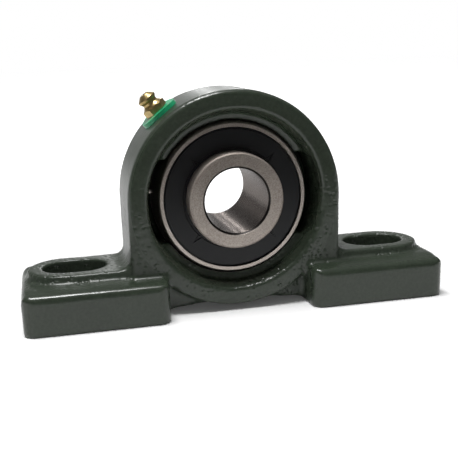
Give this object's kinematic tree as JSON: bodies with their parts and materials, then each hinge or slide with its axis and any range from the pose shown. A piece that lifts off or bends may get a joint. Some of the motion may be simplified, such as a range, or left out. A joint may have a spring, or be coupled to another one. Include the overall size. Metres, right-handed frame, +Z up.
{
  "type": "pillow block bearing",
  "caption": "Foot-mounted ball bearing unit: cast housing with bolt slots, self-aligning sealed insert with set screws, and a grease nipple on the shoulder.",
  "frame": {"origin": "on the base plane, under the middle of the spherical seat", "axes": "+X along the feet, +Y along the shaft towards the long end of the inner ring, +Z up"},
  "size_m": [0.127, 0.038, 0.065],
  "materials": {
    "cast_paint": "glossy dark green-grey enamel over rough cast iron",
    "ground_steel": "ground bearing steel, satin",
    "polished_steel": "polished balls",
    "pressed_steel": "pressed sheet",
    "pin_steel": "bright steel pin",
    "spring_steel": "drawn wire",
    "black_steel": "black oxide",
    "seal_rubber": "matt black nitrile",
    "green_plastic": "green washer",
    "nipple_brass": "bright turned brass"
  },
  "bodies": {
    "housing": {"housing": "cast_paint", "nipple_body": "nipple_brass", "nipple_washer": "green_plastic", "nipple_spring": "spring_steel"},
    "locating_pin": {"locating_pin": "pin_steel"},
    "outer_ring": {"outer_ring": "ground_steel", "front_seal_core": "pressed_steel", "front_seal_lip": "seal_rubber", "rear_seal_core": "pressed_steel", "rear_seal_lip": "seal_rubber"},
    "inner_ring": {"inner_ring": "ground_steel"},
    "cage": {"cage_front": "pressed_steel", "cage_rear": "pressed_steel", "cage_rivets": "pressed_steel"},
    "set_screw_1": {"set_screw_1": "black_steel"},
    "set_screw_2": {"set_screw_2": "black_steel"},
    "nipple_ball": {"nipple_ball": "polished_steel"},
    "ball_1": {"ball_1": "polished_steel"},
    "ball_2": {"ball_2": "polished_steel"},
    "ball_3": {"ball_3": "polished_steel"},
    "ball_4": {"ball_4": "polished_steel"},
    "ball_5": {"ball_5": "polished_steel"},
    "ball_6": {"ball_6": "polished_steel"},
    "ball_7": {"ball_7": "polished_steel"},
    "ball_8": {"ball_8": "polished_steel"}
  },
  "joints": [
    {"name": "insert_swivel", "type": "hinge", "parent": "housing", "child": "locating_pin", "pos_m": [0, 0, 0.0333], "axis": [0, 0, 1], "range_deg": [-3, 3]},
    {"name": "insert_tilt", "type": "hinge", "parent": "locating_pin", "child": "outer_ring", "pos_m": [0, 0, 0.0333], "axis": [0.9945, 0, -0.1045], "range_deg": [-3, 3]},
    {"name": "shaft_spin", "type": "hinge", "parent": "outer_ring", "child": "inner_ring", "pos_m": [0, 0, 0.0333], "axis": [0, 1, 0], "continuous": true},
    {"name": "cage_orbit", "type": "hinge", "parent": "outer_ring", "child": "cage", "pos_m": [0, 0, 0.0333], "axis": [0, 1, 0], "continuous": true},
    {"name": "ball_1_roll", "type": "hinge", "parent": "cage", "child": "ball_1", "pos_m": [0.01675, 0, 0.0333], "axis": [0, 1, 0], "continuous": true},
    {"name": "ball_2_roll", "type": "hinge", "parent": "cage", "child": "ball_2", "pos_m": [0.01184, 0, 0.04514], "axis": [0, 1, 0], "continuous": true},
    {"name": "ball_3_roll", "type": "hinge", "parent": "cage", "child": "ball_3", "pos_m": [0, 0, 0.05005], "axis": [0, 1, 0], "continuous": true},
    {"name": "ball_4_roll", "type": "hinge", "parent": "cage", "child": "ball_4", "pos_m": [-0.01184, 0, 0.04514], "axis": [0, 1, 0], "continuous": true},
    {"name": "ball_5_roll", "type": "hinge", "parent": "cage", "child": "ball_5", "pos_m": [-0.01675, 0, 0.0333], "axis": [0, 1, 0], "continuous": true},
    {"name": "ball_6_roll", "type": "hinge", "parent": "cage", "child": "ball_6", "pos_m": [-0.01184, 0, 0.02146], "axis": [0, 1, 0], "continuous": true},
    {"name": "ball_7_roll", "type": "hinge", "parent": "cage", "child": "ball_7", "pos_m": [0, 0, 0.01655], "axis": [0, 1, 0], "continuous": true},
    {"name": "ball_8_roll", "type": "hinge", "parent": "cage", "child": "ball_8", "pos_m": [0.01184, 0, 0.02146], "axis": [0, 1, 0], "continuous": true},
    {"name": "set_screw_1_advance", "type": "slide", "parent": "inner_ring", "child": "set_screw_1", "axis": [-0.2588, 0, -0.9659], "range_m": [0, 0.0012]},
    {"name": "set_screw_2_advance", "type": "slide", "parent": "inner_ring", "child": "set_screw_2", "axis": [0.9659, 0, 0.2588], "range_m": [0, 0.0012]},
    {"name": "grease_ball_press", "type": "slide", "parent": "housing", "child": "nipple_ball", "axis": [0.6157, 0, -0.788], "range_m": [0, 0.0008], "stiffness_N_per_m": 300, "springref_m": -0.0005, "deforming": ["nipple_spring"]}
  ],
  "couplings": [
    {"joint": "cage_orbit", "follows": "shaft_spin", "ratio": 0.38152},
    {"joint": "ball_1_roll", "follows": "shaft_spin", "ratio": -1.9916},
    {"joint": "ball_2_roll", "follows": "shaft_spin", "ratio": -1.9916},
    {"joint": "ball_3_roll", "follows": "shaft_spin", "ratio": -1.9916},
    {"joint": "ball_4_roll", "follows": "shaft_spin", "ratio": -1.9916},
    {"joint": "ball_5_roll", "follows": "shaft_spin", "ratio": -1.9916},
    {"joint": "ball_6_roll", "follows": "shaft_spin", "ratio": -1.9916},
    {"joint": "ball_7_roll", "follows": "shaft_spin", "ratio": -1.9916},
    {"joint": "ball_8_roll", "follows": "shaft_spin", "ratio": -1.9916}
  ]
}
